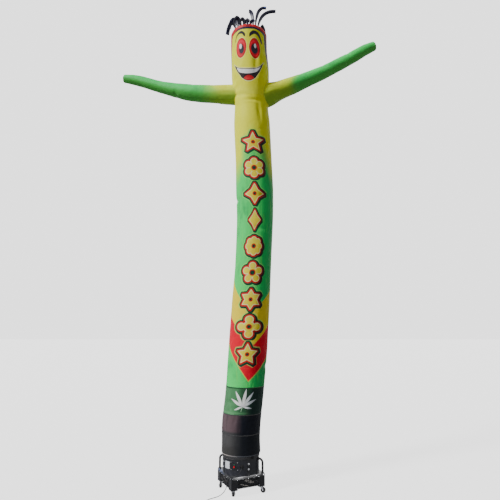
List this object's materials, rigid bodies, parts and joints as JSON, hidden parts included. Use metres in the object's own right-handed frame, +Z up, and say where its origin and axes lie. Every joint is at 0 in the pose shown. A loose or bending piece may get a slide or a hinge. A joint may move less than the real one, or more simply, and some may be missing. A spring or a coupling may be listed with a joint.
{
  "type": "inflatable air dancer with its blower",
  "caption": "Tall inflated cloth tube figure with a smiling face, ribbon hair and outspread sleeves, strapped over the round drum of a wheeled floor blower",
  "frame": {"origin": "on the floor, under the middle of the figure's outline, the cord left out", "axes": "+Z up; +X to the figure's left hand, which is on the right when it is seen from the front; the face looks along -Y"},
  "size_m": [3.6288, 0.9869, 6.3071],
  "materials": {
    "yellow_cloth": "yellow coated nylon, printed, slightly glossy",
    "green_cloth": "green coated nylon, yellow near the body",
    "dark_green_cloth": "dark green coated nylon with a printed sprig",
    "brown_cloth": "dark brown coated nylon with a printed pattern",
    "black_cloth": "black coated nylon",
    "red_cloth": "red coated nylon",
    "webbing": "black woven webbing",
    "hair_ribbon": "navy glossy ribbon cloth",
    "black_paint": "gloss black paint on steel sheet",
    "zinc": "bright zinc plate",
    "wheel_rubber": "black rubber tread",
    "label_white": "plain white film",
    "switch_red": "moulded red plastic",
    "black_plastic": "moulded black plastic",
    "cord_rubber": "black cable rubber"
  },
  "bodies": {
    "stand": {"arm_left": "green_cloth", "arm_right": "green_cloth", "base_cuff": "black_cloth", "blank_label": "label_white", "body_tube": "yellow_cloth", "caster_plate_back": "zinc", "caster_plate_front": "zinc", "caster_plate_left": "zinc", "caster_plate_right": "zinc", "control_plate": "black_paint", "cord_coil": "cord_rubber", "cord_gland": "black_plastic", "cord_run": "cord_rubber", "cord_tie": "webbing", "corner_post_back": "black_paint", "corner_post_front": "black_paint", "corner_post_left": "black_paint", "corner_post_right": "black_paint", "crown_panel": "red_cloth", "cuff_strap": "webbing", "deck": "black_paint", "drum": "black_paint", "guard_back_left": "black_paint", "guard_back_right": "black_paint", "guard_front_left": "black_paint", "guard_front_right": "black_paint", "hair_back": "hair_ribbon", "hair_left": "hair_ribbon", "hair_middle": "hair_ribbon", "hair_right": "hair_ribbon", "handle_left": "black_paint", "handle_right": "black_paint", "leaf_band": "dark_green_cloth", "plug": "cord_rubber", "print_band": "brown_cloth", "switch_frame": "black_plastic"},
    "swivel_front": {"caster_fork_front": "zinc"},
    "wheel_front": {"caster_wheel_front": "wheel_rubber"},
    "swivel_right": {"caster_fork_right": "zinc"},
    "wheel_right": {"caster_wheel_right": "wheel_rubber"},
    "swivel_back": {"caster_fork_back": "zinc"},
    "wheel_back": {"caster_wheel_back": "wheel_rubber"},
    "swivel_left": {"caster_fork_left": "zinc"},
    "wheel_left": {"caster_wheel_left": "wheel_rubber"},
    "rocker": {"switch_rocker": "switch_red"}
  },
  "joints": [
    {"name": "swivel_front", "type": "hinge", "parent": "stand", "child": "swivel_front", "pos_m": [-0.15715, -0.04498, 0.072], "axis": [0, 0, 1], "continuous": true},
    {"name": "spin_front", "type": "hinge", "parent": "swivel_front", "child": "wheel_front", "pos_m": [-0.15055, -0.01983, 0.032], "axis": [-0.9673, 0.2538, 0], "continuous": true},
    {"name": "swivel_right", "type": "hinge", "parent": "stand", "child": "swivel_right", "pos_m": [0.18098, 0.11485, 0.072], "axis": [0, 0, 1], "continuous": true},
    {"name": "spin_right", "type": "hinge", "parent": "swivel_right", "child": "wheel_right", "pos_m": [0.20546, 0.10609, 0.032], "axis": [0.3371, 0.9415, 0], "continuous": true},
    {"name": "swivel_back", "type": "hinge", "parent": "stand", "child": "swivel_back", "pos_m": [0.02115, 0.45298, 0.072], "axis": [0, 0, 1], "continuous": true},
    {"name": "spin_back", "type": "hinge", "parent": "swivel_back", "child": "wheel_back", "pos_m": [-0.00477, 0.45511, 0.032], "axis": [-0.0819, -0.9966, 0], "continuous": true},
    {"name": "swivel_left", "type": "hinge", "parent": "stand", "child": "swivel_left", "pos_m": [-0.31698, 0.29315, 0.072], "axis": [0, 0, 1], "continuous": true},
    {"name": "spin_left", "type": "hinge", "parent": "swivel_left", "child": "wheel_left", "pos_m": [-0.3227, 0.26778, 0.032], "axis": [0.9755, -0.2199, 0], "continuous": true},
    {"name": "rocker_tilt", "type": "hinge", "parent": "stand", "child": "rocker", "pos_m": [-0.14601, -0.0163, 0.327], "axis": [0.9426, -0.3338, 0], "range_deg": [0, 14]}
  ]
}
